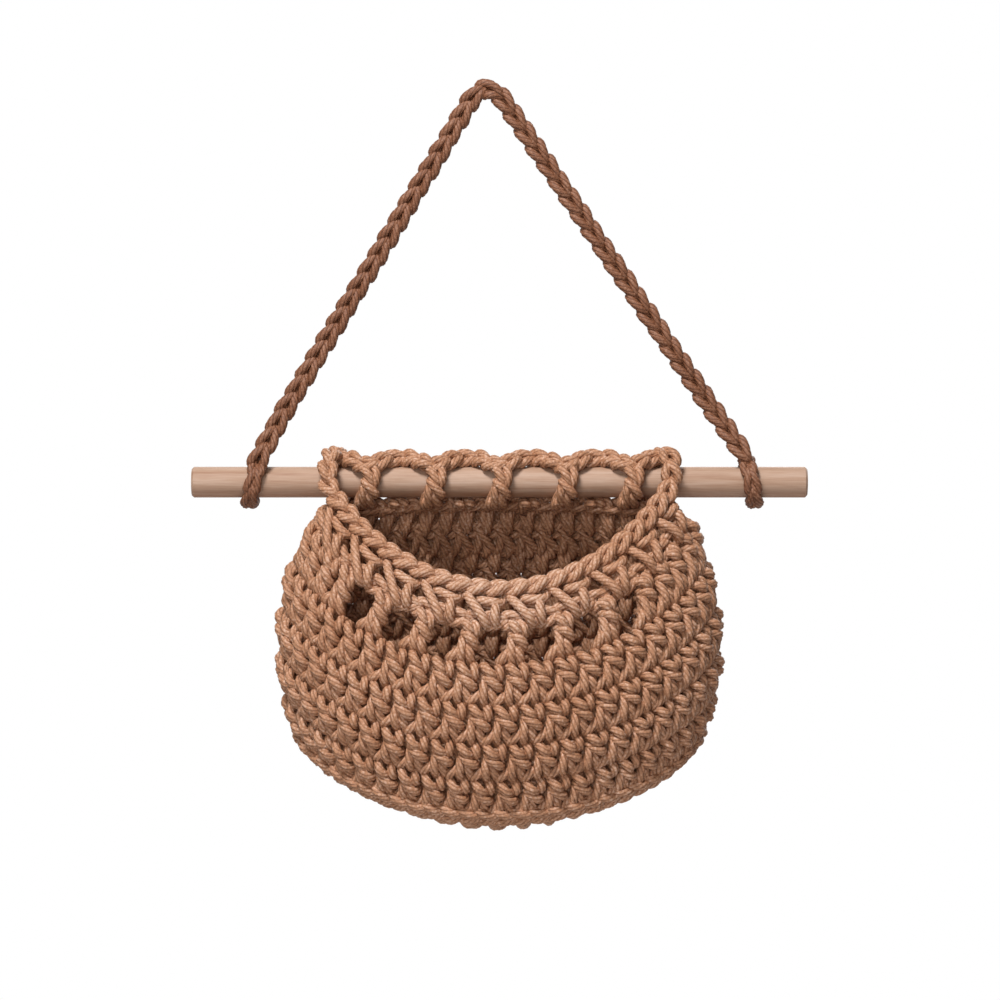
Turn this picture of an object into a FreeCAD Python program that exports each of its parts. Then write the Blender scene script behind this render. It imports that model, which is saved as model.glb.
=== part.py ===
import FreeCAD, Part
import math
import os
from collections import namedtuple
from FreeCAD import Vector

# Hanging basket: a crocheted cotton pouch on a wooden dowel, hung by a crocheted cord.
# Millimetres. The origin is the hook seat, under the top of the hanging cord.
# +X runs along the dowel, to the right as seen from the front, -Y faces the front, +Z is up.
# Sizes below are counted from the middle of the dowel, which lies under the hook seat.

# Dowel
DOWEL_LENGTH = 300.0
DOWEL_DIAMETER = 15.0
DOWEL_CHAMFER = 1.0

# Hanging cord: an oval crocheted chain, looped round the dowel at both ends
CORD_WIDTH = 11.0
CORD_THICKNESS = 7.0
LOOP_CLEARANCE = 0.3
HANG_DROP = 187.5
HOOK_RADIUS = 4.0
HOOK_SIDESTEP = -5.0
LEFT_LOOP_X = -119.5
RIGHT_LOOP_X = 122.5
LOOP_NECK = 14.0

# Crochet work: rounds of stitches, thinner where a round is worked into the one below
ROUND_THICKNESS = 11.0
ROUND_EDGE_THICKNESS = 7.0
ROUND_GAP = 0.5
CHAIN_DIAMETER = 9.0
RIM_DIAMETER = 10.0
RIDGE_DIAMETER = 8.0
FOUNDATION_THICKNESS = 8.0
WALL_ROUNDS = 5
BASE_ROUNDS = 3
OVAL_FULLNESS = 0.72

# Casing: posts pass before and behind the dowel in turn, under a waving edge chain
CASING_CLEARANCE = 0.6
CASING_PITCH = 32.0
FRONT_CASING_POSTS = 5
CASING_POST_WIDTH = 9.0
CASING_POST_THICKNESS = 6.0
CHAIN_LEAN_FRONT = 46.0
CHAIN_LEAN_BACK = 22.0
CREST_FLATNESS = 0.05

# Mouth: the rim scoops down in front between two corners on the dowel
RIM_CORNER_REACH = 8.0
RIM_CORNER_LEAN = -45.0
RIM_FRONT = -47.0
RIM_DIP = 54.0

# Open work under the rim
EYELET_POSTS = 11
EYELET_POST_FOOT = 11.0
EYELET_POST_HEAD = 7.0
EYELET_POST_THICKNESS = 7.0
RIM_POST_WIDTH = 6.5
RIM_POST_SLANT = 3.0
POST_GAP = 0.6

# Shape of the pouch: hoops around it, from the chain under the dowel to the foundation chain.
# Each has its half width, its depth at the front, at the widest place and at the back, and how
# far it hangs below the dowel at those three places.
Hoop = namedtuple("Hoop", "half_width front side back front_drop side_drop back_drop")
OVAL_REACH = OVAL_FULLNESS * math.sqrt(2) / 2
DOWEL_RADIUS = DOWEL_DIAMETER / 2
CASING_RADIUS = DOWEL_RADIUS + CASING_CLEARANCE
CASING_HALF_LENGTH = CASING_PITCH * FRONT_CASING_POSTS / 2
RIM_HALF_WIDTH = CASING_HALF_LENGTH + RIM_CORNER_REACH
TOP_DROP = CASING_RADIUS + OVAL_REACH * CHAIN_DIAMETER
TOP_HOOP = Hoop(RIM_HALF_WIDTH + 1.0, -52.0, -17.0, 0.0, 70.0, TOP_DROP + 12.0, TOP_DROP)
BELLY_HOOP = Hoop(102.5, -57.0, -4.0, 39.0, 112.0, 70.0, 63.0)
EDGE_HOOP = Hoop(97.0, -43.0, 5.0, 56.0, 156.5, 120.0, 114.0)
UNDER_HOOP = Hoop(68.0, -18.0, 10.0, 39.0, 164.0, 139.0, 138.0)
HEART_HOOP = Hoop(38.0, 7.0, 14.0, 21.0, 160.0, 153.0, 154.0)
FRONT_ROUNDNESS = 2.0
BACK_ROUNDNESS = 2.3
SCOOP_POWER = 1.4

# Sections along half a hoop, along a wave of the casing chain and along the foundation chain
HALF_STATIONS = 16
WAVE_STATIONS = 8
FOUNDATION_STATIONS = 7
ANGLE_STEP = 0.01

BOTTOM_LEVEL = WALL_ROUNDS + BASE_ROUNDS
DOWEL_MIDDLE = Vector(-HOOK_SIDESTEP, 0, -HANG_DROP)
ALONG_DOWEL = Vector(1, 0, 0)

# Where a post meets a chain or a round: the middle of that, its directions along and up, the
# room kept from its middle, and the width of the post there
Seat = namedtuple("Seat", "middle along up room width")


def through_three(start, middle, end, t):
    """Value at t of the smooth curve that is start at 0, middle at 0.5 and end at 1."""
    return start * (1 - t) * (1 - 2 * t) + middle * 4 * t * (1 - t) + end * t * (2 * t - 1)


def hoop_at(level):
    """Hoop at a level, counted in rounds from the eyelet chain down to the foundation chain."""
    if level <= WALL_ROUNDS:
        hoops = (TOP_HOOP, BELLY_HOOP, EDGE_HOOP)
        t = level / WALL_ROUNDS
    else:
        hoops = (EDGE_HOOP, UNDER_HOOP, HEART_HOOP)
        t = (level - WALL_ROUNDS) / BASE_ROUNDS
    return Hoop(*(through_three(*sizes, t) for sizes in zip(*hoops)))


def pouch_point(angle, level):
    """Middle of the crochet at an angle from the front, on the hoop of a level."""
    hoop = hoop_at(level)
    across = math.sin(angle)
    ahead = math.cos(angle)
    if ahead >= 0:
        power, end, end_drop = 2 / FRONT_ROUNDNESS, hoop.front, hoop.front_drop
    else:
        power, end, end_drop = 2 / BACK_ROUNDNESS, hoop.back, hoop.back_drop
    x = hoop.half_width * math.copysign(abs(across) ** power, across)
    y = hoop.side + (end - hoop.side) * abs(ahead) ** power
    drop = hoop.side_drop + (end_drop - hoop.side_drop) * abs(ahead) ** SCOOP_POWER
    return Vector(x, y, -drop)


def point_across(x, level, behind):
    """Middle of the crochet on the front or back of a hoop, at a distance along the dowel."""
    roundness = BACK_ROUNDNESS if behind else FRONT_ROUNDNESS
    share = abs(x) / hoop_at(level).half_width
    angle = math.copysign(math.asin(share ** (roundness / 2)), x)
    return pouch_point(math.pi - angle if behind else angle, level)


def hoop_frame(angle, level):
    """Middle of the crochet on a hoop, with its directions along the hoop, up and outward."""
    along = pouch_point(angle + ANGLE_STEP, level) - pouch_point(angle - ANGLE_STEP, level)
    along.normalize()
    below = pouch_point(angle, min(level + 0.5, BOTTOM_LEVEL))
    above = pouch_point(angle, max(level - 0.5, 0))
    up = above - below
    up = (up - along * up.dot(along)).normalize()
    return pouch_point(angle, level), along, up, along.cross(up)


def even_angles(count, level, start, end):
    """Angles that divide a stretch of a hoop into equal lengths, both ends included."""
    fine = [start + (end - start) * i / 720 for i in range(721)]
    points = [pouch_point(angle, level) for angle in fine]
    reach = [0.0]
    for before, after in zip(points, points[1:]):
        reach.append(reach[-1] + before.distanceToPoint(after))
    angles = []
    i = 0
    for k in range(count + 1):
        wanted = reach[-1] * k / count
        while i < 719 and reach[i + 1] < wanted:
            i += 1
        share = (wanted - reach[i]) / (reach[i + 1] - reach[i])
        angles.append(fine[i] + share * (fine[i + 1] - fine[i]))
    return angles


FRONT_ANGLES = even_angles(HALF_STATIONS, WALL_ROUNDS / 2, -math.pi / 2, math.pi / 2)
BACK_ANGLES = even_angles(HALF_STATIONS, WALL_ROUNDS / 2, math.pi / 2, 3 * math.pi / 2)
HOOP_ANGLES = FRONT_ANGLES[:-1] + BACK_ANGLES[:-1]


def oval(centre, width_way, thickness_way, width, thickness):
    """Cord section of four arcs: two long sides and two rounded ends."""
    long = width_way * (width / 2)
    short = thickness_way * (thickness / 2)
    middles = [centre + short, centre - long, centre - short, centre + long]
    corners = []
    for side, face in ((1, 1), (-1, 1), (-1, -1), (1, -1)):
        corners.append(centre + (long * side + short * face) * OVAL_FULLNESS)
    arcs = [Part.Arc(corners[i], middles[i], corners[(i + 1) % 4]).toShape() for i in range(4)]
    return Part.Wire(arcs)


def tube(points, diameter):
    """Round tube along a row of points, whose two ends point along the dowel."""
    last = len(points) - 1
    way = Vector(0, 0, 1)
    sections = []
    for i, point in enumerate(points):
        along = ALONG_DOWEL
        if 0 < i < last:
            along = (points[i + 1] - points[i - 1]).normalize()
        way = (way - along * way.dot(along)).normalize()
        sections.append(oval(point, way, along.cross(way), diameter, diameter))
    return Part.makeLoft(sections, True, True)


def hoop_chain(level, diameter):
    """Closed chain along a hoop."""
    sections = []
    for angle in HOOP_ANGLES:
        middle, along, up, out = hoop_frame(angle, level)
        sections.append(oval(middle, up, out, diameter, diameter))
    return Part.makeLoft(sections, True, True, True)


def round_section(angle, low, high, low_room, high_room):
    """Section of a round: thin where it meets its neighbours, full in the middle."""
    bottom, low_along, low_up, low_out = hoop_frame(angle, low)
    top, high_along, high_up, high_out = hoop_frame(angle, high)
    bottom = bottom + low_up * low_room
    top = top - high_up * high_room
    middle = (bottom + top) * 0.5
    out = (low_out + high_out).normalize()
    along = (top - bottom).cross(out).normalize()
    low_edge = (low_out - along * low_out.dot(along)).normalize() * (ROUND_EDGE_THICKNESS / 2)
    high_edge = (high_out - along * high_out.dot(along)).normalize() * (ROUND_EDGE_THICKNESS / 2)
    full = out * (ROUND_THICKNESS / 2)
    return Part.Wire([
        Part.LineSegment(bottom - low_edge, bottom + low_edge).toShape(),
        Part.Arc(bottom + low_edge, middle + full, top + high_edge).toShape(),
        Part.LineSegment(top + high_edge, top - high_edge).toShape(),
        Part.Arc(top - high_edge, middle - full, bottom - low_edge).toShape(),
    ])


def crochet_round(low, high, low_room, high_room):
    """Closed round of stitches between the hoops of two levels."""
    sections = [round_section(angle, low, high, low_room, high_room) for angle in HOOP_ANGLES]
    return Part.makeLoft(sections, True, True, True)


def back_round(low_room, high_room):
    """Solid half round at the back, across from the eyelets."""
    sections = [round_section(angle, 1, 0, low_room, high_room) for angle in BACK_ANGLES]
    return Part.makeLoft(sections, True, True)


def foundation_chain():
    """Chain in the middle of the base that the first round is worked around."""
    reach = hoop_at(BOTTOM_LEVEL).half_width - ROUND_EDGE_THICKNESS / 2
    sections = []
    for i in range(FOUNDATION_STATIONS):
        x = reach * math.sin(math.radians(75) * (2 * i / (FOUNDATION_STATIONS - 1) - 1))
        front = point_across(x, BOTTOM_LEVEL, False)
        back = point_across(x, BOTTOM_LEVEL, True)
        way = back - front
        width = way.Length - 2 * ROUND_GAP
        way.normalize()
        thickness_way = way.cross(ALONG_DOWEL).normalize()
        sections.append(oval((front + back) * 0.5, way, thickness_way, width, FOUNDATION_THICKNESS))
    return Part.makeLoft(sections, True, True)


def dowel():
    start = Vector(-DOWEL_LENGTH / 2, 0, 0)
    cylinder = Part.makeCylinder(DOWEL_RADIUS, DOWEL_LENGTH, start, ALONG_DOWEL)
    rims = [edge for edge in cylinder.Edges if isinstance(edge.Curve, Part.Circle)]
    return cylinder.makeChamfer(DOWEL_CHAMFER, rims)


def cord_loop(x):
    """End of the hanging cord, looped round the dowel and sewn to itself."""
    centre = Vector(x, 0, DOWEL_RADIUS + LOOP_CLEARANCE + CORD_THICKNESS / 2)
    face = Part.Face(oval(centre, ALONG_DOWEL, Vector(0, 0, 1), CORD_WIDTH, CORD_THICKNESS))
    return face.revolve(Vector(x, 0, 0), ALONG_DOWEL, 360)


def rounded_wire(points, radii):
    """Straight runs between points, joined by tangent arcs."""
    edges = []
    start = points[0]
    for before, corner, after, radius in zip(points, points[1:], points[2:], radii):
        back = (before - corner).normalize()
        on = (after - corner).normalize()
        half = back.getAngle(on) / 2
        inward = (back + on).normalize()
        first = corner + back * (radius / math.tan(half))
        middle = corner + inward * (radius / math.sin(half) - radius)
        last = corner + on * (radius / math.tan(half))
        edges.append(Part.LineSegment(start, first).toShape())
        edges.append(Part.Arc(first, middle, last).toShape())
        start = last
    edges.append(Part.LineSegment(start, points[-1]).toShape())
    return Part.Wire(edges)


def hanging_cord():
    """Cord from one dowel loop, tight over the hook, to the other loop."""
    loop_top = DOWEL_RADIUS + 2 * LOOP_CLEARANCE + CORD_THICKNESS
    neck_top = loop_top + LOOP_NECK
    hook_middle = HANG_DROP - HOOK_RADIUS
    hook_arc = HOOK_RADIUS + CORD_WIDTH / 2
    slope = math.atan2((RIGHT_LOOP_X - LEFT_LOOP_X) / 2, hook_middle - neck_top)
    neck_arc = 0.45 * LOOP_NECK / math.tan(slope / 2)
    route = [
        Vector(LEFT_LOOP_X, 0, loop_top),
        Vector(LEFT_LOOP_X, 0, neck_top),
        Vector(HOOK_SIDESTEP, 0, hook_middle + hook_arc / math.sin(slope)),
        Vector(RIGHT_LOOP_X, 0, neck_top),
        Vector(RIGHT_LOOP_X, 0, loop_top),
    ]
    wire = rounded_wire(route, [neck_arc, hook_arc, neck_arc])
    section = oval(route[0], ALONG_DOWEL, Vector(0, 1, 0), CORD_WIDTH, CORD_THICKNESS)
    cord = wire.makePipeShell([section], True, True)
    print("cord radii %.1f %.1f, length %.1f, volume %.0f, section x length %.0f" % (
        neck_arc, hook_arc, wire.Length, cord.Volume, Part.Face(section).Area * wire.Length))
    return cord


def on_dowel(x, lean):
    """Middle of an edge chain that lies on the dowel, leaning back from its top by some degrees."""
    reach = CASING_RADIUS + OVAL_REACH * RIM_DIAMETER
    lean = math.radians(lean)
    return Vector(x, reach * math.sin(lean), reach * math.cos(lean))


def casing_chain():
    """Edge chain over the dowel: down its front at the front posts, behind it between them."""
    middle = (CHAIN_LEAN_BACK - CHAIN_LEAN_FRONT) / 2
    swing = (CHAIN_LEAN_BACK + CHAIN_LEAN_FRONT) / 2
    count = WAVE_STATIONS * FRONT_CASING_POSTS
    reach = CASING_HALF_LENGTH - ROUND_GAP
    points = []
    for i in range(count + 1):
        x = reach * (2 * i / count - 1)
        turn = 2 * math.pi * x / CASING_PITCH
        wave = (math.cos(turn) - CREST_FLATNESS * math.cos(3 * turn)) / (1 - CREST_FLATNESS)
        points.append(on_dowel(x, middle - swing * wave))
    return tube(points, RIM_DIAMETER)


def rim_point(angle):
    """Middle of the front rim at an angle from the front."""
    corner_y = -(CASING_RADIUS + OVAL_REACH * RIM_DIAMETER)
    ahead = math.cos(angle) ** SCOOP_POWER
    y = corner_y + (RIM_FRONT - corner_y) * ahead
    return Vector(RIM_HALF_WIDTH * math.sin(angle), y, -RIM_DIP * ahead)


def rim_edging():
    """Front rim, from one end of the casing chain over the dowel and round to the other."""
    corner = []
    for degrees in range(0, 90, 15):
        turn = math.radians(degrees)
        lean = RIM_CORNER_LEAN + (CHAIN_LEAN_BACK - RIM_CORNER_LEAN) * math.cos(turn)
        corner.append(on_dowel(CASING_HALF_LENGTH + RIM_CORNER_REACH * math.sin(turn), lean))
    for lean in (RIM_CORNER_LEAN, RIM_CORNER_LEAN - 15, RIM_CORNER_LEAN - 30):
        corner.append(on_dowel(RIM_HALF_WIDTH, lean))
    scoop = [rim_point(math.radians(degrees)) for degrees in range(84, -85, -7)]
    mirrored = [Vector(-point.x, point.y, point.z) for point in reversed(corner)]
    return tube(corner + scoop + mirrored, RIM_DIAMETER)


def chain_room(diameter, reach):
    """Degrees about the dowel that a chain takes up beside its middle, at a reach from the axis."""
    return math.degrees(math.asin((OVAL_REACH * diameter + POST_GAP) / reach))


def casing_posts(xs, lean, behind):
    """Posts that wrap the dowel from the chain below it up to the casing chain."""
    side = 1 if behind else -1
    turn_axis = ALONG_DOWEL * side
    edge_reach = CASING_RADIUS + OVAL_REACH * RIM_DIAMETER
    end = 180 - lean - chain_room(RIM_DIAMETER, edge_reach)
    posts = []
    for x in xs:
        chain = point_across(x, 0, True)
        chain_lean = math.degrees(math.atan2(side * chain.y, -chain.z))
        start = chain_lean + chain_room(CHAIN_DIAMETER, math.hypot(chain.y, chain.z))
        foot = Vector(x, 0, -(CASING_RADIUS + CASING_POST_THICKNESS / 2))
        section = oval(foot, ALONG_DOWEL, Vector(0, 0, 1), CASING_POST_WIDTH, CASING_POST_THICKNESS)
        post = Part.Face(section).revolve(Vector(x, 0, 0), turn_axis, end - start)
        post.rotate(Vector(x, 0, 0), turn_axis, start)
        posts.append(post)
    return Part.makeCompound(posts)


def straight_post(low, high, thickness):
    """Post between two seats, with ends that lie flat along them."""
    ends = []
    for seat in (low, high):
        middle = seat.middle + seat.up * seat.room
        ends.append(oval(middle, seat.along, seat.along.cross(seat.up), seat.width, thickness))
    return Part.makeLoft(ends, True)


def post_angles():
    """Angles of the eyelet posts, even over the front half of the eyelet round."""
    return even_angles(2 * EYELET_POSTS, 0.5, -math.pi / 2, math.pi / 2)[1::2]


def eyelet_posts():
    """Posts between the top wall round and the eyelet chain, spread at the foot."""
    posts = []
    for angle in post_angles():
        bottom, low_along, low_up, out = hoop_frame(angle, 1)
        top, high_along, high_up, out = hoop_frame(angle, 0)
        low = Seat(bottom, low_along, low_up, POST_GAP / 2, EYELET_POST_FOOT)
        high_room = -(OVAL_REACH * CHAIN_DIAMETER + POST_GAP)
        high = Seat(top, high_along, high_up, high_room, EYELET_POST_HEAD)
        posts.append(straight_post(low, high, EYELET_POST_THICKNESS))
    return Part.makeCompound(posts)


def rim_posts():
    """Slanting posts between the eyelet chain and the rim, over the eyelets."""
    angles = post_angles()
    posts = []
    for before, after in zip(angles, angles[1:]):
        low_angle = (before + after) / 2
        high_angle = low_angle - math.radians(RIM_POST_SLANT)
        bottom, low_along, low_up, out = hoop_frame(low_angle, 0)
        top = rim_point(high_angle)
        high_along = rim_point(high_angle + ANGLE_STEP) - rim_point(high_angle - ANGLE_STEP)
        high_along.normalize()
        way = top - bottom
        low_up = (way - low_along * way.dot(low_along)).normalize()
        high_up = (way - high_along * way.dot(high_along)).normalize()
        low_room = OVAL_REACH * CHAIN_DIAMETER + POST_GAP
        high_room = -(OVAL_REACH * RIM_DIAMETER + POST_GAP)
        low = Seat(bottom, low_along, low_up, low_room, RIM_POST_WIDTH)
        high = Seat(top, high_along, high_up, high_room, RIM_POST_WIDTH)
        posts.append(straight_post(low, high, RIM_POST_WIDTH))
    return Part.makeCompound(posts)


def build():
    """Every piece of the basket by name, counted from the middle of the dowel."""
    half = FRONT_CASING_POSTS // 2
    front_xs = [CASING_PITCH * i for i in range(-half, half + 1)]
    back_xs = [x + CASING_PITCH / 2 for x in front_xs[:-1]]
    half_gap = ROUND_GAP / 2
    chain_gap = OVAL_REACH * CHAIN_DIAMETER + ROUND_GAP
    ridge_gap = OVAL_REACH * RIDGE_DIAMETER + ROUND_GAP
    pieces = {
        "dowel": dowel(),
        "hanging_cord": hanging_cord(),
        "left_cord_loop": cord_loop(LEFT_LOOP_X),
        "right_cord_loop": cord_loop(RIGHT_LOOP_X),
        "casing_chain": casing_chain(),
        "rim_edging": rim_edging(),
        "front_casing_posts": casing_posts(front_xs, CHAIN_LEAN_FRONT, False),
        "back_casing_posts": casing_posts(back_xs, CHAIN_LEAN_BACK, True),
        "rim_posts": rim_posts(),
        "eyelet_chain": hoop_chain(0, CHAIN_DIAMETER),
        "eyelet_posts": eyelet_posts(),
        "eyelet_back_round": back_round(half_gap, chain_gap),
        "base_ridge": hoop_chain(WALL_ROUNDS, RIDGE_DIAMETER),
        "foundation_chain": foundation_chain(),
    }
    for number in range(1, WALL_ROUNDS):
        low = WALL_ROUNDS - number + 1
        low_room = ridge_gap if number == 1 else half_gap
        pieces["wall_round_%d" % number] = crochet_round(low, low - 1, low_room, half_gap)
    for number in range(1, BASE_ROUNDS + 1):
        low = BOTTOM_LEVEL - number + 1
        high_room = ridge_gap if number == BASE_ROUNDS else half_gap
        pieces["base_round_%d" % number] = crochet_round(low, low - 1, half_gap, high_room)
    return pieces


os.makedirs("parts", exist_ok=True)
for name, shape in build().items():
    shape.translate(DOWEL_MIDDLE)
    shape.exportStep("parts/%s.step" % name)
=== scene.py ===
import math
import random
from collections import namedtuple

import bpy
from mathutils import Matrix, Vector


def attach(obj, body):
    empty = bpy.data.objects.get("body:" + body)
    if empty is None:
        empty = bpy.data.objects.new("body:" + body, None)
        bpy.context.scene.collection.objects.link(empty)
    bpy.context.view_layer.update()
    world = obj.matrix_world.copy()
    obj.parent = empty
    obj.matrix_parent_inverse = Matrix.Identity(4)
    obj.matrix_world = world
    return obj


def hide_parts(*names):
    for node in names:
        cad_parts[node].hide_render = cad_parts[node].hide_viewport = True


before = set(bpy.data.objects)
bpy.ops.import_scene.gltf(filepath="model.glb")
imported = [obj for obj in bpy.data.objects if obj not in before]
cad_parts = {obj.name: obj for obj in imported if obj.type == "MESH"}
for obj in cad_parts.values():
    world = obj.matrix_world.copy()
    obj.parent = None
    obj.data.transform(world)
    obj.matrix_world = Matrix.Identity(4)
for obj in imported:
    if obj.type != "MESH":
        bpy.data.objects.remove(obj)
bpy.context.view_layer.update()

# Hanging basket of crocheted cotton on a wooden dowel.
# Sizes are millimetres counted from the middle of the dowel, as in the part's source, and
# metres_from_hook() turns such a place into metres counted from the hook seat. Leans, looks and
# the steps of the rim are degrees.
MM = 0.001
FULL_TURN = 2 * math.pi
random.seed(7)

# Dowel
DOWEL_RADIUS = 7.5
HANG_DROP = 187.5
HOOK_SIDESTEP = -5.0
DOWEL_MIDDLE = Vector((-HOOK_SIDESTEP, 0, -HANG_DROP))

# Crochet work: widths of the part's solid chains, the share of such a width that reaches out from
# its middle, and the rounds of the pouch
CHAIN_DIAMETER = 9.0
RIM_DIAMETER = 10.0
OVAL_REACH = 0.509
WALL_ROUNDS = 5
BASE_ROUNDS = 3
BOTTOM_LEVEL = WALL_ROUNDS + BASE_ROUNDS

# Yarn: plies laid round each other, cut into strands of some turns where it is hidden
YARN_RADIUS = 2.25
CHAIN_YARN_RADIUS = 2.2
RIM_YARN_RADIUS = 2.35
OPEN_YARN_RADIUS = 2.4
LOOP_YARN_RADIUS = 1.95
FOUNDATION_YARN_RADIUS = 2.6
PLIES = 6
PLY_POINTS = 3
PLY_GROOVE = 0.83
YARN_LAY = 21.0
YARN_STEPS = 2
STRAND_TURNS = 90
YARN_WANDER = 0.25

# Hanging cord: a chain, straight from the loops to the hook as it hangs in the photograph. Its
# line bends inside the places that it is drawn to, so the top one stands above the hook seat.
CORD_PITCH = 9.7
CORD_LEG = 3.0
CORD_DEPTH = 1.25
CORD_STEPS = 12
HOOK_TOP = Vector((-6.5, 0, 198.8))
HOOK_STRETCH = 33.0
LEFT_LOOP_TOP = Vector((-117.4, -7.0, 10.4))
LEFT_NECK = Vector((-106.6, 0, 32.0))
RIGHT_LOOP_TOP = Vector((121.3, -7.0, 10.4))
RIGHT_NECK = Vector((106.2, 0, 32.0))
NECK_STRETCH = 16.8
TOWARDS_VIEW = Vector((0, -1, 0))

# Loops of the cord round the dowel: side, place along the dowel and lean
CORD_LOOPS = (("left", -119.5, 0.24), ("right", 122.5, -0.20))
LOOP_CLEARANCE = 0.3
LOOP_STANDOFF = 2.9
LOOP_RADIUS = DOWEL_RADIUS + LOOP_CLEARANCE + LOOP_STANDOFF
LOOP_LEG = 2.5
LOOP_DEPTH = 0.45
LOOP_STEPS = 36

# Casing: an edge chain that waves over the dowel, from crests behind it to dips before it
CASING_CLEARANCE = 0.6
CASING_RADIUS = DOWEL_RADIUS + CASING_CLEARANCE
CASING_PITCH = 32.0
FRONT_CASING_POSTS = 5
CASING_HALF_LENGTH = CASING_PITCH * FRONT_CASING_POSTS / 2
CASING_STEPS = 160
CASING_LEG = 2.6
CASING_DEPTH = 1.4
CREST_LEAN = 8.0
CREST_REACH = 11.4
CREST_LOOK = -70.0
DIP_LEAN = -46.0
DIP_REACH = 11.2
DIP_LOOK = -50.0
EDGE_REACH = CASING_RADIUS + OVAL_REACH * RIM_DIAMETER

# Posts of the casing: tall stitches laid round the dowel, from under it up to the edge chain, and
# flattened, with the yarn at the depth POST_BACK lying close to it
POST_FOOT_LEAN = 172.0
BACK_POST_LEAN = 22.0
POST_FLATNESS = 0.42
POST_BACK = 3.2
POST_SPREAD = 0.85
POST_FOOT = 4.8

# Rim: a scoop in front between two corners that wrap the dowel. From CORNER_START below the axis
# up, its stitches grow fuller and flatter. Yarn past CORNER_HIDDEN is hidden and isn't flattened.
RIM_CORNER_REACH = 3.6
RIM_CORNER_LEAN = -45.0
RIM_FRONT = -47.0
RIM_DIP = 51.5
RIM_POWER = 1.62
RIM_HALF_WIDTH = CASING_HALF_LENGTH + RIM_CORNER_REACH
RIM_END = 84
RIM_STEP = 4
RIM_FACE = Vector((0.4, -0.75, 0.65))
RIM_PITCH = 9.6
CORNER_BACK_LEAN = 150.0
CORNER_SIDESTEP = 13.0
CORNER_STEPS = 20
CORNER_TURNS = (0, 15, 30)
CORNER_START = 34.0
CORNER_BLEND = 20.0
CORNER_FULLNESS = 0.3
CORNER_FLATNESS = 0.2
CORNER_HIDDEN = 120

# Open work under the rim: posts with eyelets between them, and slanting stitches over those. The
# hidden yarn at the left of a post is held low, so that the eyelet there stays open.
EYELET_POSTS = 11
EYELET_LEVEL = 0.5
EYELET_SIDESTEP = 7.6
EYELET_SPREAD = 0.82
EYELET_HIDE = 3.5
EYELET_HIDE_DEPTH = 1.0
EYELET_LOW = -1.0
EYELET_END = math.radians(52)
RIM_RISE = 16.8

# Chains round the pouch, with how far each stands out, and the chain in the middle of the base
CHAIN_PITCH = 8.6
CHAIN_LEG = 3.1
CHAIN_DEPTH = 1.2
HOOP_CHAINS = (("eyelet_chain", 0, -1.6), ("base_ridge", WALL_ROUNDS, 1.9))
HOOP_STEPS = 180
FOUNDATION_REACH = 33.0
FOUNDATION_LEG = 3.4
FOUNDATION_STEPS = 12

# Shape of the pouch: hoops from the chain under the dowel down to the foundation chain, eased
# by a few millimetres from the part's source to the photograph
Hoop = namedtuple("Hoop", "half_width front side back front_drop side_drop back_drop")
TOP_DROP = CASING_RADIUS + OVAL_REACH * CHAIN_DIAMETER
TOP_HOOP = Hoop(88.5, -52.0, -8.0, 9.0, 66.0, TOP_DROP + 4.0, TOP_DROP - 3.0)
BELLY_HOOP = Hoop(103.5, -57.0, -4.0, 39.0, 115.0, 71.0, 63.0)
EDGE_HOOP = Hoop(95.5, -43.0, 5.0, 56.0, 158.0, 121.0, 116.0)
UNDER_HOOP = Hoop(64.0, -18.0, 10.0, 39.0, 162.0, 138.0, 138.0)
HEART_HOOP = Hoop(38.0, 7.0, 14.0, 21.0, 160.0, 153.0, 154.0)
FRONT_ROUNDNESS = 2.0
BACK_ROUNDNESS = 2.3
SCOOP_POWER = 1.4
ANGLE_STEP = 0.01
HALF_ROUND = 0.5
FINE_STEPS = 720
ROUND_STEPS = 360

# Rounds of tall stitches. The half round at the back starts a little low and has short heads.
WALL_STITCHES = 42
BASE_STITCHES = (18, 27, 36)
BACK_STITCHES = 20
BACK_LOW = 1.08
BACK_TOP = 16.5
STITCH_PITCH = 12.2
STITCH_HEIGHT = 18.5
STITCH_DEPTH = 1.05
ROUND_SHIFT = 0.45

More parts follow.
